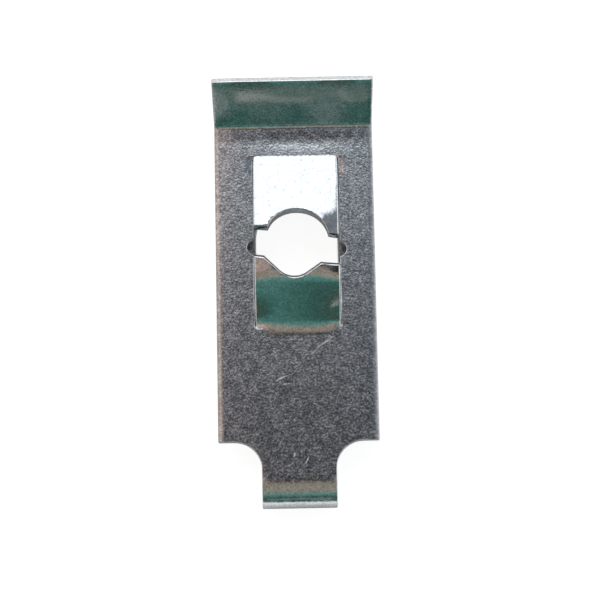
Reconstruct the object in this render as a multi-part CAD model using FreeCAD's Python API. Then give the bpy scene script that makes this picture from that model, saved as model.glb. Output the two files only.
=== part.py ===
import FreeCAD, Part
import math
import os

# U clip speed nut, all sizes in millimetres, all angles in degrees.
# One strip of spring steel is blanked, lanced and folded into a clip that slides over a panel
# edge. The upper leg carries two raised tongues whose half-round ends catch the thread of a
# screw, the lower leg has a long clearance hole, and a flared lip leads the panel in.
# Frame: the screw's axis is Z through X = 0, Y = 0. The lower leg's outer face is Z = 0,
# the lip and the mouth of the clip are toward +Y, and the fold is toward -Y.

# Strip
strip_width = 12.7
sheet = 0.8
fold_radius = 1.6            # outer face of the fold that joins the two legs

# Places along the clip, measured from the screw's axis
fold_start = 19.0            # both legs run straight down to here
upper_shoulder = 15.45       # the upper leg narrows to the neck here
lower_shoulder = 14.15       # the lower leg narrows a little sooner, out of the way
lip_start = 9.8              # the lip begins to turn up here
lower_leg_end = 11.4         # free end of the lower leg
off_centre = 0.12            # the screw sits this far toward +X of the strip's middle

# Neck, which lets the fold spring
neck_width = 5.9
shoulder_radius = 2.15       # round between a shoulder and the neck

# Lead-in lip and the free end below it
lip_angle = 46.0
lip_bend_radius = 0.5        # on the face that closes
lip_straight = 1.5
lip_easing = 8.0             # the lip bends back a little toward its edge
lip_easing_radius = 14.0
lip_edge = 0.5               # straight part at the edge
lip_flare = 1.8              # each side of the lip spreads by this angle
lower_end_radius = 1.0       # corners of the lower leg's free end

# Window of the screw impression, in the upper leg
window_width = 6.9
window_to_lip = 7.65         # from the screw's axis to the root of the upper tongue
window_to_fold = 7.22        # from the screw's axis to the root of the lower tongue
lip_side_corner = 0.5        # corner radii of the window
fold_side_corner = 1.2
shear_gap = 0.08             # between a tongue and the side of the window

# Slot across the window, whose round ends are the ears
slot_length = 7.95
slot_width = 1.3
slot_shift = 0.07            # off the screw's axis, toward the lip
slot_slant = -2.2

# Screw: a 1/4 in coarse thread
thread_pitch = 1.27
clearance_width = 6.6        # long hole in the lower leg, lying along the clip
clearance_length = 9.2

# Tongue ends, cut in the flat before the tongues are raised
upper_end = 0.85             # from the screw's axis to the upper tongue's straight ends
lower_end = 0.93
upper_end_slant = -4.2       # straight ends lean with the thread's lead
lower_end_slant = -6.1
punch_radius = 2.5           # half-round of the upper tongue, which catches the thread
punch_centre = 0.13          # its centre, toward the lip
punch_offset = 0.08          # and toward +X
bite_depth = 1.27            # rounded vee of the lower tongue, which catches it from behind
bite_radius = 1.7
bite_offset = -0.22          # its round, toward -X
bite_left = 42.0             # sides of the vee, from straight across
bite_right = 34.0

# Tongues, raised from the upper leg
upper_rise = 1.85            # height of the upper tongue's straight ends over the leg
upper_root_radius = 0.9      # bend at the root, on the face that closes
lower_root_radius = 2.6
upper_easing = 14.0          # each tongue bends back this far toward level before its end
upper_easing_radius = 8.0
lower_easing = 25.0
lower_easing_radius = 3.5
last_flat = 0.25             # straight part after that bend

# Worked out from the sizes above
clip_height = 2 * fold_radius
lower_rise = upper_rise + thread_pitch / 2
side_lift = thread_pitch / 4
tongue_width = window_width - 2 * shear_gap
clear = strip_width          # how far a cutting tool runs past the metal


def vector(x, y, z):
    return FreeCAD.Vector(x, y, z)


# Paths of the sheet, seen from its edge

def next_place(place, slope, move):
    """Where one straight or turn of a path ends: place as (along, up), and the new slope."""
    kind, size, turn = move
    after = slope + turn
    before_rad = math.radians(slope)
    after_rad = math.radians(after)
    if kind == "straight":
        along = size * math.cos(before_rad)
        up = size * math.sin(before_rad)
    else:
        radius = size if turn > 0 else -size
        along = radius * (math.sin(after_rad) - math.sin(before_rad))
        up = radius * (math.cos(before_rad) - math.cos(after_rad))
    return (place[0] + along, place[1] + up), after


def edge_of_move(place, slope, move, offset):
    """Edge in the YZ plane for one move, `offset` to the right of the path."""
    kind, size, turn = move
    points = []
    for share in (0, 0.5, 1):
        part = (kind, size * share, 0) if kind == "straight" else (kind, size, turn * share)
        (along, up), now = next_place(place, slope, part)
        side = math.radians(now)
        points.append(vector(0, along + offset * math.sin(side), up - offset * math.cos(side)))
    if kind == "straight":
        return Part.makeLine(points[0], points[2])
    return Part.Arc(*points).toShape()


def sheet_outline(start, slope, moves):
    """Closed outline of the bent sheet, with the path along the face on its left."""
    near = []
    far = []
    place = start
    for move in moves:
        near.append(edge_of_move(place, slope, move, 0))
        far.append(edge_of_move(place, slope, move, sheet))
        place, slope = next_place(place, slope, move)
    first = Part.makeLine(near[0].Vertexes[0].Point, far[0].Vertexes[0].Point)
    last = Part.makeLine(near[-1].Vertexes[-1].Point, far[-1].Vertexes[-1].Point)
    return Part.Wire(Part.__sortEdges__([first] + near + [last] + far))


def end_of(moves):
    """Run and rise of a path that starts level."""
    place = (0.0, 0.0)
    slope = 0.0
    for move in moves:
        place, slope = next_place(place, slope, move)
    return place


def slope_at(moves, distance):
    """Slope of a path, which starts level, at a distance along it."""
    slope = 0.0
    for kind, size, turn in moves:
        length = size if kind == "straight" else size * math.radians(abs(turn))
        share = min(max(distance / length, 0), 1)
        slope += turn * share
        distance -= length
    return slope


# Outlines seen from above

def rounded_prism(corners, low, high):
    """Upright prism between two heights, through corners (x, y, radius)."""
    edges = []
    leaving = []
    reaching = []
    count = len(corners)
    for index in range(count):
        here = vector(corners[index][0], corners[index][1], low)
        radius = corners[index][2]
        before = vector(corners[index - 1][0], corners[index - 1][1], low) - here
        after = vector(corners[(index + 1) % count][0], corners[(index + 1) % count][1], low) - here
        before.normalize()
        after.normalize()
        half = before.getAngle(after) / 2
        start = here + before * (radius / math.tan(half))
        end = here + after * (radius / math.tan(half))
        reaching.append(start)
        leaving.append(end)
        if radius > 0:
            inward = before + after
            inward.normalize()
            middle = here + inward * (radius / math.sin(half) - radius)
            edges.append(Part.Arc(start, middle, end).toShape())
    for index in range(count):
        if leaving[index - 1].distanceToPoint(reaching[index]) > 0.001:
            edges.append(Part.makeLine(leaving[index - 1], reaching[index]))
    face = Part.Face(Part.Wire(Part.__sortEdges__(edges)))
    return face.extrude(vector(0, 0, high - low))


def both_sides(shape):
    """A shape and its mirror image across the clip's middle plane."""
    return [shape, shape.mirror(vector(0, 0, 0), vector(1, 0, 0))]


# Folded strip

def side_cutter():
    """Everything beside the strip on the +X side, which is straight and then flares at the lip."""
    half = strip_width / 2
    far = fold_start + clear
    flared = half + clear * math.tan(math.radians(lip_flare))
    corners = [
        (half, -far, 0),
        (2 * clear, -far, 0),
        (2 * clear, lip_start + clear, 0),
        (flared, lip_start + clear, 0),
        (half, lip_start, 0),
    ]
    return rounded_prism(corners, -clear, clip_height + clear)


def folded_strip():
    """The whole strip at full width: lower leg, fold, upper leg and lip."""
    moves = [
        ("straight", lower_leg_end + fold_start, 0),
        ("turn", fold_radius, -180),
        ("straight", fold_start + lip_start, 0),
        ("turn", lip_bend_radius, lip_angle),
        ("straight", lip_straight, 0),
        ("turn", lip_easing_radius, -lip_easing),
        ("straight", lip_edge, 0),
    ]
    outline = sheet_outline((lower_leg_end, 0), 180, moves)
    blank_width = strip_width + 2 * sheet
    strip = Part.Face(outline).extrude(vector(blank_width, 0, 0))
    strip.translate(vector(-blank_width / 2, 0, 0))
    for cutter in both_sides(side_cutter()):
        strip = strip.cut(cutter)
    corners = []
    for edge in strip.Edges:
        low, high = edge.Vertexes[0].Point, edge.Vertexes[-1].Point
        if min(low.y, high.y) > lower_leg_end - sheet / 10 and max(low.z, high.z) < fold_radius:
            if abs(low.x - high.x) < sheet:
                corners.append(edge)
    return strip.makeFillet(lower_end_radius, corners)


def neck_cutter(shoulder, low, high):
    """Metal taken off beside the neck on the +X side, with its round at the shoulder."""
    far = -fold_start - clear
    corners = [
        (neck_width / 2, -shoulder, shoulder_radius),
        (neck_width / 2, far, 0),
        (clear, far, 0),
        (clear, -shoulder, 0),
    ]
    return rounded_prism(corners, low, high)


# Screw impression

def window_cutter():
    """Opening that the tongues leave in the upper leg."""
    side = window_width / 2
    corners = [
        (-side, -window_to_fold, fold_side_corner),
        (side, -window_to_fold, fold_side_corner),
        (side, window_to_lip, lip_side_corner),
        (-side, window_to_lip, lip_side_corner),
    ]
    return rounded_prism(corners, fold_radius, clip_height + clear)


def slot_prism(length, width, low, high):
    """Upright tool for a slot with round ends, lying along X."""
    reach = length / 2
    half = width / 2
    corners = [(-reach, -half, half), (reach, -half, half), (reach, half, half), (-reach, half, half)]
    return rounded_prism(corners, low, high)


def ear_cutter():
    """Slanted slot across the window, whose round ends are the ears."""
    tool = slot_prism(slot_length, slot_width, fold_radius, clip_height + clear)
    tool.rotate(vector(0, 0, 0), vector(0, 0, 1), slot_slant)
    tool.translate(vector(0, slot_shift, 0))
    return tool


def clearance_cutter():
    """Long hole in the lower leg, which the screw passes with room to slide."""
    tool = slot_prism(clearance_length, clearance_width, -clear, fold_radius)
    tool.rotate(vector(0, 0, 0), vector(0, 0, 1), 90)
    return tool


def tongue_moves(length, climb, root_radius, easing, easing_radius):
    """Path of a tongue's outer face from its root to its straight end."""
    root_run = root_radius * math.radians(climb)
    easing_run = easing_radius * math.radians(easing)
    return [
        ("turn", root_radius, climb),
        ("straight", length - root_run - easing_run - last_flat, 0),
        ("turn", easing_radius, -easing),
        ("straight", last_flat, 0),
    ]


def climb_for(rise, length, bends):
    """First slope that brings a tongue of this length to this rise, found by halving."""
    low, high = 0.0, 80.0
    while high - low > 0.0001:
        middle = (low + high) / 2
        if end_of(tongue_moves(length, middle, *bends))[1] < rise:
            low = middle
        else:
            high = middle
    return low


def half_round():
    """Upright punch of the upper tongue's bite, with Y = 0 at the straight ends."""
    depth = 3 * sheet
    ahead = upper_end - punch_centre
    return Part.makeCylinder(punch_radius, 2 * depth, vector(punch_offset, ahead, -depth))


def rounded_vee():
    """Upright punch of the lower tongue's bite, with Y = 0 at the straight ends."""
    depth = 3 * sheet
    left = math.radians(bite_left)
    right = math.radians(bite_right)
    share = bite_radius / math.sin(left + right)
    apex_x = bite_offset - share * (math.cos(right) - math.cos(left))
    apex_y = bite_radius - bite_depth - share * (math.sin(left) + math.sin(right))
    rise = 2 * bite_depth
    corners = [
        (apex_x, apex_y, bite_radius),
        (apex_x + rise / math.tan(right), apex_y + rise, 0),
        (apex_x - rise / math.tan(left), apex_y + rise, 0),
    ]
    return rounded_prism(corners, -depth, depth)


def end_trim(bite, slant):
    """Cutting tool past a tongue's end: a leaning straight edge with the bite in its middle."""
    depth = 3 * sheet
    tool = Part.makeBox(2 * clear, clear, 2 * depth, vector(-clear, 0, -depth))
    tool.rotate(vector(0, 0, 0), vector(0, 0, 1), slant)
    return tool.fuse(bite)


def tongue(root, toward, end, rise, bends, lift, bite, bite_reach, slant):
    """One raised tongue, whose sides stand a quarter pitch above and below its middle as the
    thread does, with its end trimmed square to the slope where the bite is deepest.
    root: Y of the root, toward: +1 if it points to +Y, end: how far the straight ends stay from
    the screw's axis, bends: root radius, easing and easing radius, lift: how far the -X side
    stands up, bite_reach: how deep the bite goes."""
    length = abs(root) - end
    sides = []
    for side, extra in ((-1, lift), (1, -lift)):
        climb = climb_for(rise + extra, length, bends)
        moves = tongue_moves(length, climb, *bends)
        moves.append(("straight", 2 * end, 0))
        wire = sheet_outline((0, 0), 0, moves)
        wire.translate(vector(side * tongue_width / 2, 0, 0))
        sides.append(wire)
    blank = Part.makeLoft(sides, True, True)

    moves = tongue_moves(length, climb_for(rise, length, bends), *bends)
    run, height = end_of(moves)
    trim = end_trim(bite, slant * toward)
    trim.rotate(vector(0, 0, 0), vector(1, 0, 0), slope_at(moves, length - bite_reach))
    trim.translate(vector(0, run, height))
    piece = blank.cut(trim)
    if toward < 0:
        piece = piece.mirror(vector(0, 0, 0), vector(0, 1, 0))
    piece.translate(vector(0, root, clip_height))
    return piece


def clip():
    """The finished clip: folded, necked, pierced and lanced."""
    body = folded_strip()
    for cutter in both_sides(neck_cutter(upper_shoulder, fold_radius, clip_height + clear)):
        body = body.cut(cutter)
    for cutter in both_sides(neck_cutter(lower_shoulder, -clear, fold_radius)):
        body = body.cut(cutter)
    body.translate(vector(-off_centre, 0, 0))
    for cutter in (window_cutter(), ear_cutter(), clearance_cutter()):
        body = body.cut(cutter)
    upper_bends = (upper_root_radius, upper_easing, upper_easing_radius)
    lower_bends = (lower_root_radius, lower_easing, lower_easing_radius)
    reach = punch_radius - (upper_end - punch_centre)
    upper = tongue(
        window_to_lip, -1, upper_end, upper_rise, upper_bends, side_lift,
        half_round(), reach, upper_end_slant,
    )
    lower = tongue(
        -window_to_fold, 1, lower_end, lower_rise, lower_bends, -side_lift,
        rounded_vee(), bite_depth, lower_end_slant,
    )
    return body.fuse(upper).fuse(lower).removeSplitter()


os.makedirs("parts", exist_ok=True)
shape = clip()
print("solids", len(shape.Solids), "valid", shape.isValid(), "volume", round(shape.Volume, 2))
shape.Solids[0].exportStep("parts/clip.step")
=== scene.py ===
# %% [markdown]
# # U clip speed nut
# This is a lesson in building one small stamped part in Blender: a U clip speed nut, the spring
# clip that slides over the edge of a panel and gives it a screw thread. The real one is a single
# strip of spring steel, blanked, lanced, folded in two and zinc plated.
#
# The imported CAD model comes in first as a fixed frame. It gives the true sizes, and it tells us
# how large the finished visual model may be, so its box is kept for the sizes below.

# %% Load the frame
import math

import bmesh
import bpy
from mathutils import Matrix, Vector


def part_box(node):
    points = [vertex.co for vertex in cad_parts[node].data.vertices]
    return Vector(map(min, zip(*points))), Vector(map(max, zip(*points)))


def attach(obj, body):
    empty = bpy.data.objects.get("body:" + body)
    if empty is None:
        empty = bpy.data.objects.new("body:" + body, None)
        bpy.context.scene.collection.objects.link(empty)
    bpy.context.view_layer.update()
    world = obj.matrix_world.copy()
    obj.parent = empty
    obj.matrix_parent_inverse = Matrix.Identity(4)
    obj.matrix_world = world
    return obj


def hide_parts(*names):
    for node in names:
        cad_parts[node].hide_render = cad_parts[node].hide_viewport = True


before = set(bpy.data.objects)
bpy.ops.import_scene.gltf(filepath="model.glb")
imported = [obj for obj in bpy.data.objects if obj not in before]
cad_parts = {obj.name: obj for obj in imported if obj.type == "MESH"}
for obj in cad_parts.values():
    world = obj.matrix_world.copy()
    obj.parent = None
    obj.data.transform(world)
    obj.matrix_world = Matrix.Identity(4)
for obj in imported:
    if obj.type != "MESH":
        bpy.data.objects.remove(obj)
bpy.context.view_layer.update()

clip_low, clip_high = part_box("clip")
mm = 0.001

# %% [markdown]
# ## Sizes
# Everything is measured from the screw's axis, which is Z through X = 0, Y = 0. The lower leg
# lies on Z = 0, the lip is toward +Y and the fold toward -Y. The outer sizes are read from the
# CAD box. The others are the ones a press tool maker would have on the drawing. `past` is how
# far a punch runs beyond the metal that it cuts.

# %% Sizes of the blank
half_width = 12.7 / 2 * mm
strip_middle = (clip_low[0] + clip_high[0]) / 2
sheet = 0.8 * mm
fold_radius = 1.6 * mm
clip_height = 2 * fold_radius
lip_start = 9.8 * mm
lower_leg_end = 11.4 * mm
fold_end = clip_low[1]
past = 2 * mm
print("middle of the strip", round(strip_middle / mm, 2), "mm, height", round(clip_height / mm, 2))

# %% [markdown]
# ## Small helpers for working by hand
# Blender's operators act on whatever is selected. These helpers do what a hand does with the
# mouse: pick vertices, edges or faces by where they are, and go in and out of edit mode. They
# only choose. The shaping itself stays with Blender's own operators.

# %% Helpers for edit mode
def begin(piece):
    """Makes one object the only selected one and opens it in edit mode."""
    bpy.ops.object.select_all(action="DESELECT")
    piece.select_set(True)
    bpy.context.view_layer.objects.active = piece
    bpy.ops.object.mode_set(mode="EDIT")


def pick(kind, wanted):
    """Selects the vertices, edges or faces that pass a test, and says how many they are."""
    bpy.ops.mesh.select_all(action="DESELECT")
    bpy.ops.mesh.select_mode(type={"verts": "VERT", "edges": "EDGE", "faces": "FACE"}[kind])
    mesh = bmesh.from_edit_mesh(bpy.context.object.data)
    chosen = [item for item in getattr(mesh, kind) if wanted(item)]
    for item in chosen:
        item.select_set(True)
    mesh.select_flush_mode()
    bmesh.update_edit_mesh(bpy.context.object.data)
    return len(chosen)


def middle(item):
    """Centre of an edge or a face."""
    corners = [vert.co for vert in item.verts]
    return sum(corners, Vector()) / len(corners)


def apply_modifier(piece, kind, **settings):
    """Adds a modifier with its settings and applies it."""
    bpy.ops.object.select_all(action="DESELECT")
    piece.select_set(True)
    bpy.context.view_layer.objects.active = piece
    modifier = piece.modifiers.new(kind.lower(), kind)
    for name, value in settings.items():
        setattr(modifier, name, value)
    bpy.ops.object.modifier_apply(modifier=modifier.name)

# %% [markdown]
# ## Drawing an outline
# Some faces are easiest drawn point by point. A plane is merged to one vertex, which is then
# extruded from point to point, and the closed loop is filled.

# %% Draw a face
def drawn_face(name, points):
    """New object, left open in edit mode, with one face through these points."""
    bpy.ops.object.select_all(action="DESELECT")
    bpy.ops.mesh.primitive_plane_add(size=sheet, location=points[0])
    bpy.ops.object.transform_apply(location=True, rotation=True, scale=True)
    piece = bpy.context.object
    piece.name = name
    begin(piece)
    bpy.ops.mesh.select_mode(type="VERT")
    bpy.ops.mesh.select_all(action="SELECT")
    bpy.ops.mesh.merge(type="CENTER")
    for here, following in zip(points, points[1:] + points[:1]):
        bpy.ops.mesh.extrude_vertices_move(TRANSFORM_OT_translate={"value": following - here})
    bpy.ops.mesh.select_all(action="SELECT")
    bpy.ops.mesh.remove_doubles(threshold=0.001 * mm)
    bpy.ops.mesh.select_all(action="SELECT")
    bpy.ops.mesh.edge_face_add()
    return piece

# %% [markdown]
# ## The edge of sheared sheet
# Strip that comes out of a shear or a blanking tool is never a perfect rectangle in section.
# On the face where the punch went in, the edge is rolled over a little. On a shiny part that
# soft roll is what catches the light along the sides. The roll is seldom the same on both
# sides, so each side has its own width. Below it comes a short bright wall, then the broken
# part of the edge.

# %% Section of the sheet
bright_wall = 0.08 * mm


def sheet_section(name, half, rolls, roll_depth, roll_shares, lines, place, inward):
    """Section standing across the clip. `place` is the middle of its outer face, `rolls` the
    widths of the rolled edge on -X and +X, `lines` where other vertices lie across the sheet,
    and `inward` says whether the inner face is above (+1) or below (-1) the outer one."""
    sides = []
    for roll in rolls:
        side = [(half - roll * share, roll_depth * (1 - share) ** 3) for share in roll_shares]
        sides.append(side + [(half, roll_depth + bright_wall), (half, sheet)])
    outline = [(-x, depth) for x, depth in reversed(sides[0])]
    outline += [(x, 0) for x in lines] + sides[1]
    outline += [(x, sheet) for x in reversed(lines)]
    return drawn_face(
        name, [place + Vector((x, 0, inward * depth)) for x, depth in outline]
    )

# %% [markdown]
# ## Following the sheet
# A folded part is easiest to make the way the press makes it: the section travels along the
# sheet's path. Straight runs are extrusions and bends are spins about the bend's own axis, so
# each fold gets its true radius. In the background `spin` turns against the right-hand rule,
# which is why its angle has a minus sign. A tongue can also twist as it climbs, a little at
# each step, because a screw thread climbs as it goes round.

# %% Carry a section along its path
def carry(moves, place, toward, slope=0.0, twist=0.0):
    """Carries the selected section along straights and turns of its outer face. `toward` is the
    side of Y it heads for, and `twist` is how many degrees it leans for each metre it climbs."""
    for kind, size, turn, steps in moves:
        for _ in range(steps):
            before = place.copy()
            if kind == "straight":
                heading = Vector((0, toward * math.cos(slope), math.sin(slope)))
                bpy.ops.mesh.extrude_region_move(
                    TRANSFORM_OT_translate={"value": heading * size / steps}
                )
                place = place + heading * size / steps
            else:
                up = Vector((0, -toward * math.sin(slope), math.cos(slope)))
                centre = place + up * math.copysign(size, turn)
                angle = math.radians(turn) / steps
                bpy.ops.mesh.spin(
                    steps=1, angle=-toward * angle, center=centre, axis=(1, 0, 0)
                )
                place = centre + Matrix.Rotation(toward * angle, 3, "X") @ (place - centre)
                slope += angle
            if twist:
                bpy.ops.transform.rotate(
                    value=math.radians(twist * (place.z - before.z)),
                    orient_axis="Y",
                    center_override=place,
                )
    return place, slope

# %% [markdown]
# ## Pulled metal
# A die doesn't only bend. Beside a root or an edge the metal is stretched, and it sinks or
# rises there by some hundredths of a millimetre, and by up to three tenths at the side of a
# tongue. That hardly changes the outline, but a bright surface shows it at once, because its
# reflections shift. Proportional editing is made for this: the chosen vertices move, and the
# metal round them follows less and less.

# %% Pull the metal as the die does
def pull(wanted, height, reach):
    """Moves the chosen vertices of the open piece up, and the metal round them less and less."""
    count = pick("verts", wanted)
    bpy.ops.transform.translate(
        value=(0, 0, height), use_proportional_edit=True,
        proportional_edit_falloff="SMOOTH", proportional_size=reach,
    )
    return count

# %% [markdown]
# ## Free end of the lower leg
# The strip starts at the lower leg's free end. Its corners are round, so that they don't catch
# on the panel: there the section starts narrower, and it is widened step by step as it is
# extruded. The section has vertices across the sheet as well as at its edges, so that the leg
# can be shaped a little later on.

# %% Round the free end
end_round = 1.0 * mm
edge_rolls = (0.50 * mm, 0.44 * mm)


def widen(before, after):
    """Changes the selected section's half width from one size to another."""
    bpy.ops.transform.resize(value=(after / before, 1, 1), center_override=(strip_middle, 0, 0))


clip = sheet_section(
    "clip_strip", half_width, edge_rolls, 0.11 * mm, (1.0, 0.75, 0.5, 0.25, 0.07),
    [x * mm for x in (-5.1, -4.45, -2.4, -1.6, -0.8, 0, 0.8, 1.6, 2.4, 4.45, 5.1)],
    Vector((strip_middle, lower_leg_end, 0)), 1,
)
widen(half_width, half_width - end_round)
angles = [math.radians(15 * step) for step in range(7)]
for before, after in zip(angles, angles[1:]):
    run = end_round * (math.cos(before) - math.cos(after))
    wide = [half_width - end_round * (1 - math.sin(angle)) for angle in (before, after)]
    bpy.ops.mesh.extrude_region_move(TRANSFORM_OT_translate={"value": (0, -run, 0)})
    widen(*wide)
print("free end at Y =", round(lower_leg_end / mm, 2), "mm, corners of", end_round / mm, "mm")

# %% [markdown]
# ## The fold
# From the free end the strip runs to the fold, turns over and comes back as the upper leg. The
# fold is not one half round. The press closes it with a tight radius, and the metal springs
# back a little as it leaves the tool, so on top it begins with a wide, easy bend. The tight
# radius is worked out from the easy one and the clip's height. The upper leg gets two rows of
# vertices, one on each side of the screw, and closer rows before the lip.

# %% Fold the strip
easy, easy_turn = 4.2 * mm, 20
rise = easy * (1 - math.cos(math.radians(easy_turn)))
tight = (clip_height - rise) / (1 + math.cos(math.radians(easy_turn)))
upper_start = -fold_end - tight + (tight - easy) * math.sin(math.radians(easy_turn))
row_by_fold, row_by_window = 4.0 * mm, 5.8 * mm
place, slope = carry(
    [
        ("straight", lower_leg_end - end_round - fold_end - tight, 0, 1),
        ("turn", tight, 180 - easy_turn, 42),
        ("turn", easy, easy_turn, 10),
        ("straight", upper_start - row_by_fold, 0, 1),
        ("straight", row_by_fold + row_by_window, 0, 1),
        ("straight", lip_start - row_by_window, 0, 12),
    ],
    Vector((strip_middle, lower_leg_end - end_round, 0)), -1,
)
print("fold: tight radius", round(tight / mm, 3), "mm, then", easy / mm, "mm")

# %% [markdown]
# ## The lip
# The upper leg ends in a lip that leads the panel in. It is bent up sharply, bends back a
# little toward its edge, and spreads sideways as it rises, so each of its sections is widened
# as it is made. The edge on the -X side was pressed down a little harder than the other one,
# from beside the window to the end of the lip, so that edge is lowered last.

# %% Bend the lip
lip_bend, lip_angle, lip_steps = 0.5 * mm, 46, 12
lip_easing, easing_angle, easing_steps = 14 * mm, 8, 6
flare = math.tan(math.radians(1.8))
lip_moves = [("turn", lip_bend, -lip_angle / lip_steps, 1)] * lip_steps
lip_moves += [("straight", 1.5 * mm, 0, 1)]
lip_moves += [("turn", lip_easing, easing_angle / easing_steps, 1)] * easing_steps
lip_moves += [("straight", 0.5 * mm, 0, 1)]
for move in lip_moves:
    before = half_width + flare * (place.y - lip_start)
    place, slope = carry([move], place, -1, slope)
    widen(before, half_width + flare * (place.y - lip_start))
bpy.ops.mesh.select_all(action="SELECT")
bpy.ops.mesh.remove_doubles(threshold=0.001 * mm)
bpy.ops.mesh.normals_make_consistent(inside=False)
pressed_edge = strip_middle - half_width + edge_rolls[0] + 0.1 * mm
dropped = pull(
    lambda vert: vert.co.x < pressed_edge and vert.co.y > row_by_window - 0.1 * mm
    and vert.co.z > clip_height - 0.3 * mm,
    -0.05 * mm, 0.02 * mm,
)
bpy.ops.object.mode_set(mode="OBJECT")
print("strip:", len(clip.data.polygons), "faces, lip edge at", [round(c / mm, 2) for c in place])
print(dropped, "vertices of the edge on -X pressed down")

# %% [markdown]
# ## Punches
# Every hole and notch of a stamped part is the shape of its punch. A punch is a cube whose
# upright edges are bevelled to the corner radii, so it is easy to see which size is which.
# A boolean modifier takes the punch out of the sheet, and the punch is then thrown away.

# %% Make punches and cut with them
def upright(edge):
    """True for an edge that runs along Z."""
    return abs(edge.verts[0].co.z - edge.verts[1].co.z) > 0.1 * mm


def punch(name, low, high, corners):
    """Block between two corners, whose upright edges get the radii in `corners`, a list of
    (test of the edge's middle, radius)."""
    bpy.ops.object.select_all(action="DESELECT")
    bpy.ops.mesh.primitive_cube_add(size=1, location=(Vector(low) + Vector(high)) / 2)
    piece = bpy.context.object
    piece.name = name
    piece.scale = Vector(high) - Vector(low)
    bpy.ops.object.transform_apply(location=True, rotation=True, scale=True)
    begin(piece)
    for wanted, radius in corners:
        pick("edges", lambda edge: upright(edge) and wanted(middle(edge)))
        bpy.ops.mesh.bevel(
            offset=radius, offset_type="OFFSET", segments=12, profile=0.5, clamp_overlap=False
        )
    bpy.ops.mesh.select_all(action="SELECT")
    bpy.ops.mesh.remove_doubles(threshold=0.001 * mm)
    bpy.ops.object.mode_set(mode="OBJECT")
    return piece


def combine(piece, tool, operation="DIFFERENCE"):
    """Cuts one piece with another, or joins them, and removes the other."""
    apply_modifier(piece, "BOOLEAN", object=tool, operation=operation, solver="EXACT")
    bpy.data.objects.remove(tool)


# %% [markdown]
# ## Neck
# Beside the fold both legs are notched, which leaves a narrow neck that can spring. The upper
# and lower shoulders are at slightly different places, and each has a generous round, because
# a sharp inside corner would crack there. The same punch does both sides, mirrored by its sign.

# %% Notch the neck
half_neck = 5.9 / 2 * mm
shoulder_round = 2.15 * mm
upper_shoulder, lower_shoulder = 15.45 * mm, 14.15 * mm
overlap = 0.3 * mm
for shoulder, low, high in (
    (upper_shoulder, fold_radius - overlap, clip_height + past),
    (lower_shoulder, -past, fold_radius + overlap),
):
    for side in (-1, 1):
        inner = strip_middle + side * half_neck
        outer = strip_middle + side * (half_width + past)
        notch = punch(
            "notch",
            (min(inner, outer), fold_end - past, low),
            (max(inner, outer), -shoulder, high),
            [(lambda at: at.y > -shoulder - mm and abs(at.x) < half_neck + mm, shoulder_round)],
        )
        combine(clip, notch)
print("after the neck:", len(clip.data.polygons), "faces")

# %% [markdown]
# ## Window, ears and clearance hole
# The upper leg is opened by a window for the tongues. On the fold's side its slits end a
# little before the bend of the lower tongue, which gives that bend its U shape. A slot crosses
# the window, and its round ends stay visible as two small ears, where the slits of the lancing
# tool end. The lower leg has a long hole that the screw passes freely. Both have fully round
# ends, so their corner radius is a hair under half the width: a flat of no length would upset
# the bevel.

# %% Pierce the legs
full_round = 0.999
half_window = 6.9 / 2 * mm
window_to_lip = 7.65 * mm
window_to_fold = 7.22 * mm
slit_end = 6.45 * mm
lip_side_corner, slit_corner = 0.5 * mm, 0.3 * mm
window = punch(
    "window",
    (-half_window, -slit_end, fold_radius),
    (half_window, window_to_lip, clip_height + past),
    [(lambda at: at.y > 0, lip_side_corner), (lambda at: at.y < 0, slit_corner)],
)
combine(clip, window)

slot_length, slot_width, slot_shift, slot_slant = 7.95 * mm, 1.3 * mm, 0.07 * mm, -2.2
slot = punch(
    "slot",
    (-slot_length / 2, -slot_width / 2, fold_radius),
    (slot_length / 2, slot_width / 2, clip_height + past),
    [(lambda at: True, slot_width / 2 * full_round)],
)
slot.rotation_euler.z = math.radians(slot_slant)
slot.location.y = slot_shift
combine(clip, slot)

hole_width, hole_length = 6.6 * mm, 9.2 * mm
hole = punch(
    "hole",
    (-hole_width / 2, -hole_length / 2, -past),
    (hole_width / 2, hole_length / 2, fold_radius),
    [(lambda at: True, hole_width / 2 * full_round)],
)
combine(clip, hole)
print("after piercing:", len(clip.data.polygons), "faces")

# %% [markdown]
# ## Thread impression
# This is the skilled part of the tool. Two tongues are lanced and raised so that their ends
# stand on a helix: the lower one ends half a pitch higher than the upper one, and each leans
# sideways by a quarter pitch a side, just as the screw's thread does. Their shaped ends then
# catch the thread all round. The shapes are bites, and each bite is cut by its own punch: a
# half round for the upper tongue and a rounded vee for the lower one.

# %% Punches of the two bites
def half_round_punch():
    """The upper tongue's bite: a half round that catches the thread from the lip's side."""
    radius = 2.5 * mm
    centre = Vector((0.08, -0.72, 0)) * mm    # from the middle of the straight cut
    bpy.ops.object.select_all(action="DESELECT")
    bpy.ops.mesh.primitive_cylinder_add(
        vertices=96, radius=radius, depth=4 * sheet, location=centre
    )
    bpy.ops.object.transform_apply(location=True, rotation=True, scale=True)
    return bpy.context.object


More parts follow.
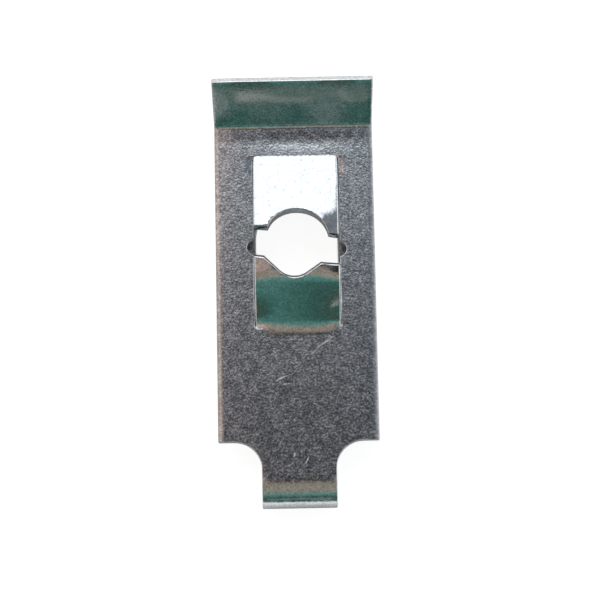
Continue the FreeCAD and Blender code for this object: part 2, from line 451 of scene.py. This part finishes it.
def rounded_vee_punch():
    """The lower tongue's bite: a vee with a round bottom, steeper on its -X side."""
    radius, depth, left, right = 1.7 * mm, 1.27 * mm, 42, 34
    centre = Vector((-0.22 * mm, radius - depth, -2 * sheet))
    points, steps = [], 16
    for step in range(steps + 1):
        angle = math.radians(-90 - left + (left + right) * step / steps)
        points.append(centre + radius * Vector((math.cos(angle), math.sin(angle), 0)))
    for index, angle, way in ((-1, math.radians(right), 1), (0, math.radians(left), -1)):
        reach = 2 * depth / math.tan(angle)
        points.append(points[index] + Vector((way * reach, 2 * depth, 0)))
    tool = drawn_face("vee_punch", points)
    bpy.ops.mesh.extrude_region_move(TRANSFORM_OT_translate={"value": (0, 0, 4 * sheet)})
    bpy.ops.mesh.select_all(action="SELECT")
    bpy.ops.mesh.normals_make_consistent(inside=False)
    bpy.ops.object.mode_set(mode="OBJECT")
    return tool


def end_tool(bite, toward, slant, slope, place):
    """Straight cut across a tongue's end, leaning by `slant`, joined with its bite."""
    depth = 0.98 * 2 * sheet                   # a little less than the bite, so no faces meet
    far = 2 * half_width
    straight = punch("straight_cut", (-far, min(0, toward * far), -depth),
                     (far, max(0, toward * far), depth), [])
    straight.rotation_euler.z = math.radians(slant)
    combine(bite, straight, "UNION")
    bite.matrix_world = Matrix.Translation(place) @ Matrix.Rotation(toward * slope, 4, "X")
    return bite

# %% [markdown]
# ## Raising a tongue
# A tongue is carried like the strip, but it starts from a section of its own, which stands
# inside the leg. Its face lies a few thousandths of a millimetre under the leg's, so that the
# two are joined without a seam and without faces in one plane. It runs on past its end by a
# spare length, which the bite then takes off together with the straight cut. A tongue follows
# its die less well at its sides than in its middle, so its sides are pulled down a little.

# %% Raise a tongue
slit = 0.06 * mm
root_step = 0.004 * mm
upper_rise, upper_lean = 1.85 * mm, 5.4


def tongue(name, root, toward, moves, lean, pulls, bite, slant, trim_slope):
    """One raised tongue. `lean` is how many degrees it leans by the time it has climbed the
    upper tongue's rise. `pulls` are places at its sides that are pulled down: (side, from,
    to, how deep, how far round). `slant` and `trim_slope` turn the cut at its end."""
    half = half_window - slit
    inside, spare = 1.0 * mm, 1.8 * mm
    start = Vector((0, root - toward * inside, clip_height - root_step))
    lines = [half * (step / 6 - 1) for step in range(1, 12)]
    piece = sheet_section(
        name, half, (0.16 * mm, 0.16 * mm), 0.04 * mm, (1.0, 0.4), lines, start, -1
    )
    place, slope = carry([("straight", inside, 0, 1)], start, toward)
    twist = -lean / upper_rise
    place, slope = carry(moves, place, toward, slope, twist)
    end = place.copy()
    carry([("straight", spare, 0, 1)], place, toward, slope, twist)
    bpy.ops.mesh.select_all(action="SELECT")
    bpy.ops.mesh.remove_doubles(threshold=0.001 * mm)
    bpy.ops.mesh.normals_make_consistent(inside=False)
    for side, start_at, stop_at, depth, reach in pulls:
        pull(
            lambda vert: start_at < toward * (vert.co.y - root) < stop_at
            and side * vert.co.x > half - 0.2 * mm,
            -depth, reach,
        )
    bpy.ops.object.mode_set(mode="OBJECT")
    combine(piece, end_tool(bite, toward, slant, math.radians(trim_slope), end))
    print(name, "climbs", round((end.z - clip_height) / mm, 2), "mm")
    return piece

# %% [markdown]
# ## The two tongues
# The upper tongue is bent sharply at its root, climbs straight and eases off near its end. The
# lower one has to climb half a pitch more over a shorter way, so it has a larger bend at its
# root and a clear arch. Both end in a short flat, which is where the thread bears. Each has
# its places where the sides are pulled down: beside the root or in its bend, and near the end.
# Where two pulls reach the same place, they add up.

# %% Upper tongue
last_flat = 0.25 * mm
upper = tongue(
    "upper_tongue", window_to_lip, -1,
    [
        ("turn", 0.9 * mm, 18.77, 8),
        ("straight", 4.64 * mm, 0, 8),
        ("turn", 8 * mm, -11.5, 10),
        ("straight", last_flat, 0, 1),
    ],
    upper_lean,
    [
        (-1, 0.4 * mm, 0.6 * mm, 0.09 * mm, 0.9 * mm),
        (1, 0.4 * mm, 0.6 * mm, 0.09 * mm, 0.9 * mm),
        (1, 6.1 * mm, 9.0 * mm, 0.16 * mm, 1.5 * mm),
    ],
    half_round_punch(), -4.2, 15.7,
)

# %% Lower tongue
pitch = 1.27 * mm
lower_rise = upper_rise + pitch / 2
lower = tongue(
    "lower_tongue", -window_to_fold, 1,
    [
        ("turn", 2.6 * mm, 31.09, 12),
        ("straight", 3.1 * mm, 0, 8),
        ("turn", 3.5 * mm, -25, 12),
        ("straight", last_flat, 0, 1),
    ],
    -upper_lean * upper_rise / lower_rise,
    [
        (-1, 1.25 * mm, 1.75 * mm, 0.17 * mm, 0.8 * mm),
        (1, 1.25 * mm, 1.75 * mm, 0.17 * mm, 0.8 * mm),
        (-1, 1.25 * mm, 2.1 * mm, 0.14 * mm, 1.6 * mm),
        (1, 1.25 * mm, 2.1 * mm, 0.09 * mm, 1.6 * mm),
        (-1, 5.3 * mm, 9.0 * mm, 0.07 * mm, 1.2 * mm),
        (1, 5.2 * mm, 9.0 * mm, 0.20 * mm, 1.5 * mm),
    ],
    rounded_vee_punch(), -6.1, 22.8,
)

# %% [markdown]
# ## One piece of steel
# On the real clip the tongues never leave the strip, so here they become one mesh with it. The
# union comes before any edge is bevelled, because small bevel faces make it fail. Then the leg
# is shaped once more: bending the lip raises a low ridge across the strip, and drawing the
# upper tongue out of the leg leaves a shallow valley between its root and the lip.

# %% Join the tongues to the leg
combine(clip, upper, "UNION")
combine(clip, lower, "UNION")
begin(clip)
bpy.ops.mesh.select_all(action="SELECT")
bpy.ops.mesh.remove_doubles(threshold=0.0005 * mm)
for title, at_y, reach_x, height, reach in (
    ("ridge", lip_start, half_width, 0.034 * mm, 1.0 * mm),
    ("valley", 8.8 * mm, 2.5 * mm, -0.024 * mm, 0.9 * mm),
):
    pulled = pull(
        lambda vert: abs(vert.co.y - at_y) < 0.1 * mm and abs(vert.co.x) < reach_x
        and vert.co.z > clip_height - 0.1 * mm,
        height, reach,
    )
    print(title, "before the lip:", pulled, "vertices moved")
bpy.ops.object.mode_set(mode="OBJECT")
print("one piece of", len(clip.data.polygons), "faces")

# %% [markdown]
# ## Break the cut edges
# No real edge is perfectly sharp, and these have been tumbled and plated. Only outward edges
# between faces that meet steeply are picked, so the many small facets of the bends and the
# inside corners where the tongues leave the leg are left alone. So is the tiny step at each
# tongue's root, which would show as a dark line. The bevel is less than a tenth of a
# millimetre wide, and it is what draws the fine bright outlines.

# %% Round the cut edges
broken_edge = 0.07 * mm
steep = math.radians(48)


def at_root(at):
    """True for a place on the line where a tongue leaves the leg."""
    return (
        min(abs(at.y - window_to_lip), abs(at.y + window_to_fold)) < 0.03 * mm
        and abs(at.x) < half_window and abs(at.z - clip_height) < 0.02 * mm
    )


begin(clip)
cut_edges = pick(
    "edges", lambda edge: edge.calc_face_angle_signed(0) > steep and not at_root(middle(edge))
)
bpy.ops.mesh.bevel(offset=broken_edge, segments=3, profile=0.5, clamp_overlap=False)
bpy.ops.object.mode_set(mode="OBJECT")
print(cut_edges, "cut edges rounded:", len(clip.data.polygons), "faces")

# %% [markdown]
# ## Smooth shading on true flats
# Smooth shading averages the normals round each vertex, which would make a large flat face
# shade as if it were swollen. Weighted normals let the largest face at a vertex decide, so
# flats stay flat up to the edge and only the roll and the broken edge curve away.

# %% Shade the sheet
bpy.ops.object.select_all(action="DESELECT")
clip.select_set(True)
bpy.context.view_layer.objects.active = clip
bpy.ops.object.shade_smooth_by_angle(angle=math.radians(40))
apply_modifier(clip, "WEIGHTED_NORMAL", mode="FACE_AREA", weight=50, keep_sharp=True)
sharp = sum(edge.use_edge_sharp for edge in clip.data.edges)
print("smooth, with", sharp, "sharp edges of", len(clip.data.edges))

# %% [markdown]
# ## Colours and nodes
# Colours are written as sRGB hex values, the way a colour chart gives them. Shaders work in
# linear light, so one function turns them over. A second one adds a node with its settings
# and its links, and that is all the node code a material needs.

# %% Helpers for materials
def linear(code, alpha=1.0):
    """sRGB hex colour as linear values with alpha."""
    parts = [int(code[index:index + 2], 16) / 255 for index in (0, 2, 4)]
    return [p / 12.92 if p <= 0.04045 else ((p + 0.055) / 1.055) ** 2.4 for p in parts] + [alpha]


def add(tree, kind, inputs=None, **settings):
    """Adds a node. An input is given a value, or another node's output to link from."""
    node = tree.nodes.new(kind)
    for name, value in settings.items():
        setattr(node, name, value)
    for name, value in (inputs or {}).items():
        if isinstance(value, bpy.types.NodeSocket):
            tree.links.new(value, node.inputs[name])
        else:
            node.inputs[name].default_value = value
    return node


def fill_ramp(ramp, stops):
    """Gives a colour ramp its stops, a list of (position, hex colour)."""
    elements = ramp.color_ramp.elements
    while len(elements) < len(stops):
        elements.new(1.0)
    for element, (position, code) in zip(elements, stops):
        element.position = position
        element.color = linear(code)

print("mid grey, 808080, is", round(linear("808080")[0], 3), "in linear light")

# %% [markdown]
# ## Zinc-plated spring steel
# Bright zinc plating is a thin metal layer grown in a bath. It follows the rolled grain of the
# steel below, so it is shiny but finely mottled: its grains tilt by a few degrees and throw
# back different parts of the room. Real grains are too fine to show with the whole clip in
# view, so they are drawn at 0.17 mm, as coarse as they need to be, with larger patches under
# them. The clear passivation on top tints them faintly. Metallic is 1 and the IOR stays at its
# default, because a metal's colour is its base colour.

# %% Zinc plating
zinc = bpy.data.materials.new("zinc_plated_spring_steel")
zinc.use_nodes = True
tree = zinc.node_tree
tree.nodes.clear()
place_on_part = add(tree, "ShaderNodeTexCoord").outputs["Object"]
grain_size, patch_size, patch_share = 0.17 * mm, 0.5 * mm, 0.35
grain = add(tree, "ShaderNodeTexNoise",
            {"Vector": place_on_part, "Scale": 1 / grain_size, "Detail": 1.5, "Roughness": 0.6})
patch = add(tree, "ShaderNodeTexNoise",
            {"Vector": place_on_part, "Scale": 1 / patch_size, "Detail": 2.0, "Roughness": 0.6})
mottle = add(tree, "ShaderNodeMix", {"Factor": patch_share, 2: grain.outputs["Fac"],
                                     3: patch.outputs["Fac"]})
tint = add(tree, "ShaderNodeValToRGB", {"Fac": mottle.outputs[0]})
fill_ramp(tint, [(0.34, "C4C8CC"), (0.66, "FAFCFE")])    # in the dull grains, in the bright ones
print("zinc grains of", round(grain_size / mm, 2), "mm in patches of", patch_size / mm, "mm")

# %% [markdown]
# ## Rub marks and scratches
# Clips are shipped loose in a box and rub on each other, so the lip has dull spots and the leg
# a few short scratches. Each mark is one soft spot, stretched to its length and width and
# turned. The patches of the plating make its edge ragged, as a real rub mark catches the high
# places first. Marks change only how dull the metal is, not its colour.

# %% Rub marks and scratches
marks = [
    # centre, half length and half width in mm, turn in degrees, how worn
    ((0.6, 12.4), (4.6, 0.9), 0, 0.6), ((2.6, 11.4), (2.5, 1.8), 0, 0.5),
    ((-2.2, 11.2), (2.6, 1.0), 0, 0.3), ((5.3, 12.2), (2.0, 1.0), 0, 0.5),
    ((-6.2, 11.8), (2.1, 1.7), 0, 1.0),
    ((2.0, -7.7), (1.1, 0.08), 33, 0.6), ((1.3, -8.3), (0.7, 0.07), 40, 0.5),
    ((-1.3, -10.4), (0.8, 0.08), 25, 0.6), ((-1.0, -10.9), (0.5, 0.07), 8, 0.5),
    ((0.5, -17.0), (0.4, 0.09), 62, 0.9), ((-0.5, -16.6), (0.3, 0.08), 80, 0.8),
]
raggedness, mark_begins = 0.22, 0.12
worn = None
for centre, half_size, turned, amount in marks:
    spread = add(tree, "ShaderNodeMapping",
                 {"Vector": place_on_part, "Location": (centre[0] * mm, centre[1] * mm, 0),
                  "Rotation": (0, 0, math.radians(turned)),
                  "Scale": (half_size[0] * mm, half_size[1] * mm, 1)}, vector_type="TEXTURE")
    spot = add(tree, "ShaderNodeTexGradient", {"Vector": spread.outputs["Vector"]},
               gradient_type="SPHERICAL")
    ragged = add(tree, "ShaderNodeMath", {0: patch.outputs["Fac"], 1: raggedness,
                                          2: spot.outputs["Fac"]}, operation="MULTIPLY_ADD")
    soft = add(tree, "ShaderNodeMapRange", {"Value": ragged.outputs[0], "From Min": mark_begins,
                                            "From Max": 1.0, "To Max": amount},
               interpolation_type="SMOOTHSTEP")
    worn = soft.outputs[0] if worn is None else add(
        tree, "ShaderNodeMath", {0: worn, 1: soft.outputs[0]}, operation="MAXIMUM").outputs[0]
print(len(marks), "rub marks and scratches")

# %% [markdown]
# ## Where the punch has wiped the metal
# The flat leg keeps the full grain of the plating. The tongues and, less so, the lip were
# stretched and wiped by polished tools before they were plated, so they mirror the room more
# clearly. One value between 0.35 and 1 says how uneven the surface is at each place, by how
# high it stands over the leg and on which side of the lip's bend it lies.

# %% Unevenness of the surface
lip_share, wiped_off = 0.6, 0.65
clear_of_leg = 0.4 * mm
lip_side, leg_side = 9.4 * mm, 9.0 * mm
where = add(tree, "ShaderNodeSeparateXYZ", {0: place_on_part})
raised = add(tree, "ShaderNodeMapRange", {"Value": where.outputs["Z"], "From Min": clip_height,
                                          "From Max": clip_height + clear_of_leg})
before_lip = add(tree, "ShaderNodeMapRange", {"Value": where.outputs["Y"], "From Min": lip_side,
                                              "From Max": leg_side, "To Min": lip_share})
wiped = add(tree, "ShaderNodeMath", {0: raised.outputs["Result"], 1: before_lip.outputs["Result"]},
            operation="MULTIPLY")
uneven = add(tree, "ShaderNodeMath", {0: wiped.outputs[0], 1: -wiped_off, 2: 1.0},
             operation="MULTIPLY_ADD")
print("the tongues keep", round(1 - wiped_off, 2), "of the unevenness and the lip",
      round(1 - wiped_off * lip_share, 2))

# %% [markdown]
# ## Putting the plating together
# The mottle makes some grains duller than others, the unevenness scales that and the relief,
# and the rub marks add to it. The finished material goes on the clip, and the clip takes the
# place of the CAD node and rides on its body.

# %% Put the plating together
clearest, dullest, rub = 0.12, 0.27, 0.4
relief_height = 0.010 * mm
dull = add(tree, "ShaderNodeMapRange",
           {"Value": mottle.outputs[0], "From Min": 0.36, "From Max": 0.7,
            "To Min": clearest, "To Max": dullest})
dull = add(tree, "ShaderNodeMath", {0: dull.outputs["Result"], 1: uneven.outputs[0]},
           operation="MULTIPLY")
rubbed = add(tree, "ShaderNodeMath", {0: worn, 1: rub, 2: dull.outputs[0]},
             operation="MULTIPLY_ADD")
relief = add(tree, "ShaderNodeBump",
             {"Height": grain.outputs["Fac"], "Strength": uneven.outputs[0],
              "Distance": relief_height})
shader = add(tree, "ShaderNodeBsdfPrincipled",
             {"Base Color": tint.outputs["Color"], "Metallic": 1.0,
              "Roughness": rubbed.outputs[0], "Normal": relief.outputs["Normal"]})
add(tree, "ShaderNodeOutputMaterial", {"Surface": shader.outputs["BSDF"]})
clip.data.materials.clear()
clip.data.materials.append(zinc)

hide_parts("clip")
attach(clip, "root")
print("roughness from", clearest, "to", dullest, "and up to", rub, "more where it is rubbed")

# %% [markdown]
# ## Floor
# The clip lies on a plain pale table. For the camera the table glows, which makes it close to
# white, and has a slightly darker colour, which keeps the clip's soft shadow on it. In
# reflections the table glows as well, but only away from the clip: near the clip its glow is
# turned down, a painted shade in place of the clip's own shadow, and that painted shade is what
# the steep outer faces of the fold and the lip mirror.

# %% Pale floor
bpy.ops.object.select_all(action="DESELECT")
bpy.ops.mesh.primitive_plane_add(size=4.0, location=(0, 0, 0))
floor = bpy.context.object
floor.name = "floor"
paper = bpy.data.materials.new("matt_white_paper")
paper.use_nodes = True
tree = paper.node_tree
tree.nodes.clear()
path = add(tree, "ShaderNodeLightPath")
mirrored = add(tree, "ShaderNodeMath", {0: path.outputs["Is Glossy Ray"],
                                        1: path.outputs["Is Transmission Ray"]},
               operation="MAXIMUM")
middle_of_clip = (0, -4 * mm, 0)
painted_shade_inner, painted_shade_outer = 15 * mm, 30 * mm
glow_in_painted_shade, pale, glow_for_camera = 0.05, 0.6, 0.88
away = add(tree, "ShaderNodeVectorMath",
           {0: add(tree, "ShaderNodeTexCoord").outputs["Object"], 1: middle_of_clip},
           operation="DISTANCE")
# Painted shade: the glow that reflections see is dim within 15 mm of the clip's middle and rises
# to full 30 mm away.
reflected_glow_painted_shade = add(tree, "ShaderNodeMapRange",
              {"Value": away.outputs["Value"], "From Min": painted_shade_inner, "From Max": painted_shade_outer,
               "To Min": glow_in_painted_shade, "To Max": pale})
glow_seen = add(tree, "ShaderNodeMath", {0: path.outputs["Is Camera Ray"], 1: glow_for_camera},
                operation="MULTIPLY")
glow_level = add(tree, "ShaderNodeMath", {0: mirrored.outputs[0], 1: reflected_glow_painted_shade.outputs["Result"],
                                          2: glow_seen.outputs[0]}, operation="MULTIPLY_ADD")
shade = add(tree, "ShaderNodeMix", {"Factor": path.outputs["Is Camera Ray"],
                                    6: linear("C8C8C8"), 7: linear("AAAAAA")},
            data_type="RGBA")
plain = add(tree, "ShaderNodeBsdfDiffuse", {"Color": shade.outputs[2]})
glow = add(tree, "ShaderNodeEmission", {"Color": (1, 1, 1, 1), "Strength": glow_level.outputs[0]})
white = add(tree, "ShaderNodeAddShader", {0: plain.outputs[0], 1: glow.outputs[0]})
add(tree, "ShaderNodeOutputMaterial", {"Surface": white.outputs[0]})
floor.data.materials.append(paper)
print("floor", round(floor.dimensions.x, 1), "m wide, glowing", glow_for_camera, "of white")

# %% [markdown]
# ## Light tent
# Shiny metal has no look of its own: it shows the room. Small hardware is usually shown off in
# a tent of cloth with an opening overhead, so the world here is such a tent, written as a
# colour for each direction. Two angles give the direction: `tilt` says how far it leans from
# straight up toward -Y, and `aside` how far it leans toward +X. Each is turned into a number
# from 0 to 1, which a colour ramp reads.

# %% Directions in the tent
world = bpy.data.worlds.new("light_tent")
bpy.context.scene.world = world
world.use_nodes = True
tree = world.node_tree
tree.nodes.clear()
direction = add(tree, "ShaderNodeSeparateXYZ",
                {0: add(tree, "ShaderNodeTexCoord").outputs["Generated"]})
forward = add(tree, "ShaderNodeMath", {0: direction.outputs["Y"], 1: -1.0}, operation="MULTIPLY")
tilt = add(tree, "ShaderNodeMath", {0: forward.outputs[0], 1: direction.outputs["Z"]},
           operation="ARCTAN2")
turn = add(tree, "ShaderNodeMapRange", {"Value": tilt.outputs[0], "From Min": -math.pi,
                                        "From Max": math.pi})
aside = add(tree, "ShaderNodeMath", {0: direction.outputs["X"]}, operation="ARCSINE")
across = add(tree, "ShaderNodeMapRange",
             {"Value": aside.outputs[0], "From Min": -math.pi / 2, "From Max": math.pi / 2})
print("world:", world.name)

# %% [markdown]
# ## Colours of the tent
# The first list is what lies along the middle of the tent, from low at the back, over the top
# and down in front: white and grey cloth, the dark opening overhead, a brown board beside it
# and a dark green wall. The level faces of the clip mirror the edge of the opening, and every
# bend sweeps over more of the list, which is what gives it its bands. The second list is what
# lies to the sides, from left to right. The rolled edges and the tilted grains mirror it.

# %% Colours of the tent
opening = add(tree, "ShaderNodeValToRGB", {"Fac": turn.outputs["Result"]})
tilts = [    # degrees toward -Y, colour
    (-90, "FFFFFF"), (-70, "FFFFFF"), (-60, "BCC0C4"), (-21, "BCC0C4"), (-18, "646A6E"),
    (-15, "4B5054"), (-13, "414549"), (-11, "34383B"), (-8.4, "1A1D1F"), (-6.5, "0E0F10"),
    (0, "0C0C0D"), (6, "0C0C0D"), (11, "5C564E"), (29, "5C564E"), (33, "3E5A54"),
    (48, "2C4843"), (54, "203833"), (60, "24322D"), (68, "24362F"),
    (76, "1E3632"), (85, "1E3633"), (96, "797F7E"),
]
fill_ramp(opening, [((tilt_deg + 180) / 360, code) for tilt_deg, code in tilts])
sides = add(tree, "ShaderNodeValToRGB", {"Fac": across.outputs["Result"]})
leans = [    # degrees toward +X, colour
    (-90, "B0ACA8"), (-65, "80796F"), (-46, "68605A"), (-36, "70665F"), (-28, "7E736E"),
    (-22, "72665F"), (-13, "665854"), (-6.5, "5C4F4C"), (-3.5, "3C4045"), (6, "383C40"),
    (14, "484C52"), (22, "505256"), (36, "5A585A"), (50, "747474"), (68, "9A9A9A"),
    (90, "D0D0D0"),
]
fill_ramp(sides, [((lean_deg + 90) / 180, code) for lean_deg, code in leans])
print("tent:", len(tilts), "colours from back to front and", len(leans), "from side to side")

# %% [markdown]
# ## How wide the middle is
# The middle part is narrow overhead, where the opening is a mere slit, and wide in front. The
# back wall reaches far round to the left, and on the right it soon meets a seam of the tent.
# So the half width of the middle is an angle that changes with the tilt, and beyond it the
# side walls take over within six degrees.

# %% Where the side walls begin
back_left, back_right, in_front, overhead = 38, 9, 38, 1.5
front_of_opening, back_of_opening = (5, 20), (-19, -24)
seam_half, softness = 2, 6
side = add(tree, "ShaderNodeMath", {0: aside.outputs[0]}, operation="ABSOLUTE")
seam = add(tree, "ShaderNodeMapRange",
           {"Value": aside.outputs[0],
            "From Min": math.radians(-seam_half), "From Max": math.radians(seam_half),
            "To Min": math.radians(back_left), "To Max": math.radians(back_right)})
front, rear = (
    add(tree, "ShaderNodeMapRange",
        {"Value": tilt.outputs[0], "From Min": math.radians(near), "From Max": math.radians(far),
         "To Min": math.radians(overhead), "To Max": widest})
    for (near, far), widest in ((front_of_opening, math.radians(in_front)),
                                (back_of_opening, seam.outputs["Result"]))
)
starts = add(tree, "ShaderNodeMath", {0: front.outputs["Result"], 1: rear.outputs["Result"]},
             operation="MAXIMUM")
stops = add(tree, "ShaderNodeMath", {0: starts.outputs[0], 1: math.radians(softness)},
            operation="ADD")
beside = add(tree, "ShaderNodeMapRange",
             {"Value": side.outputs[0], "From Min": starts.outputs[0],
              "From Max": stops.outputs[0]})
walls = add(tree, "ShaderNodeMix", {"Factor": beside.outputs["Result"],
                                    6: opening.outputs["Color"], 7: sides.outputs["Color"]},
            data_type="RGBA")
print("middle of the tent:", overhead, "degrees a side overhead,", in_front, "in front")

# %% [markdown]
# ## Strip and corners
# Two things more stand in the tent. A pale strip hangs low in front, straight before the clip,
# and the lip mirrors it as a soft band. The two corners at the back are pale grey cloth, which
# lights the flat faces from the sides without turning them pure white.

# %% A pale strip and two corners
strip_tilt, strip_half, strip_core = 67.5, 5.5, 2.5
strip_end, strip_fades = 5, 3
corner_low, corner_high = -26, -32
corner_begins, corner_full = 24, 30
from_strip = add(tree, "ShaderNodeMath", {0: tilt.outputs[0], 1: math.radians(strip_tilt)},
                 operation="SUBTRACT")
from_strip = add(tree, "ShaderNodeMath", {0: from_strip.outputs[0]}, operation="ABSOLUTE")
strip_height = add(tree, "ShaderNodeMapRange",
                   {"Value": from_strip.outputs[0], "From Min": math.radians(strip_half),
                    "From Max": math.radians(strip_core)})
strip_here = add(tree, "ShaderNodeMapRange",
                 {"Value": side.outputs[0], "From Min": math.radians(strip_end),
                  "From Max": math.radians(strip_fades),
                  "To Max": strip_height.outputs["Result"]})
with_strip = add(tree, "ShaderNodeMix", {"Factor": strip_here.outputs["Result"],
                                         6: walls.outputs[2], 7: linear("5A5D5A")},
                 data_type="RGBA")
back_wall = add(tree, "ShaderNodeMapRange",
                {"Value": tilt.outputs[0], "From Min": math.radians(corner_low),
                 "From Max": math.radians(corner_high)})
corner = add(tree, "ShaderNodeMapRange",
             {"Value": side.outputs[0], "From Min": math.radians(corner_begins),
              "From Max": math.radians(corner_full), "To Max": back_wall.outputs["Result"]})
tent = add(tree, "ShaderNodeMix", {"Factor": corner.outputs["Result"],
                                   6: with_strip.outputs[2], 7: linear("A2A6A8")},
           data_type="RGBA")
print("strip at a tilt of", strip_tilt, "degrees,", 2 * strip_half, "high; corners from",
      corner_begins, "degrees aside")

# %% [markdown]
# ## White behind, tent around
# The camera sees plain white behind the clip, at a strength of 1, and all else is lit by the
# tent and mirrors it. The tent's strength makes a level matt face a bit darker than its colour
# is written, at about 0.57 of plain light, because in a brighter tent the flat leg turns pure
# white when it is looked at from the side.

# %% Put the world together
tent_strength = 2.8
path = add(tree, "ShaderNodeLightPath")
lit = add(tree, "ShaderNodeBackground", {"Color": tent.outputs[2], "Strength": tent_strength})
backdrop = add(tree, "ShaderNodeBackground", {"Color": (1, 1, 1, 1), "Strength": 1.0})
both = add(tree, "ShaderNodeMixShader", {0: path.outputs["Is Camera Ray"], 1: lit.outputs[0],
                                         2: backdrop.outputs[0]})
add(tree, "ShaderNodeOutputWorld", {"Surface": both.outputs[0]})
print("tent strength", tent_strength)

# %% [markdown]
# ## Camera
# The camera looks down on the clip from about 190 mm away with a long lens. It leans ten
# degrees or so toward the fold and is turned a degree about its own axis, as a camera held by
# hand is. Three unit vectors say where its right, its top and its back point, and they are the
# columns of its rotation.

# %% Camera over the clip
lean_deg, roll_deg = 10.5, 1.117
distance = 186.4 * mm
focal_length, sensor_width = 140.76, 36    # in mm, as Blender wants them
target = Vector((0.178 * mm, -4.2 * mm, clip_height))
lean, roll = math.radians(lean_deg), math.radians(roll_deg)
back = Vector((0, -math.sin(lean), math.cos(lean)))
right = Vector((1, 0, 0))
top = Vector((0, math.cos(lean), math.sin(lean)))
turned_right = math.cos(roll) * right - math.sin(roll) * top
turned_top = math.sin(roll) * right + math.cos(roll) * top
lens = bpy.data.cameras.new("camera")
lens.sensor_width = sensor_width
lens.lens = focal_length
lens.clip_start = 0.001
lens.clip_end = 100
camera = bpy.data.objects.new("camera", lens)
bpy.context.collection.objects.link(camera)
turned = Matrix((turned_right, turned_top, back)).transposed().to_4x4()
camera.matrix_world = Matrix.Translation(target + back * distance) @ turned
bpy.context.scene.camera = camera
bpy.context.scene.view_settings.view_transform = "Standard"
print("camera", round(distance / mm, 1), "mm away, leaning", lean_deg, "degrees, lens of",
      round(lens.lens, 1), "mm")
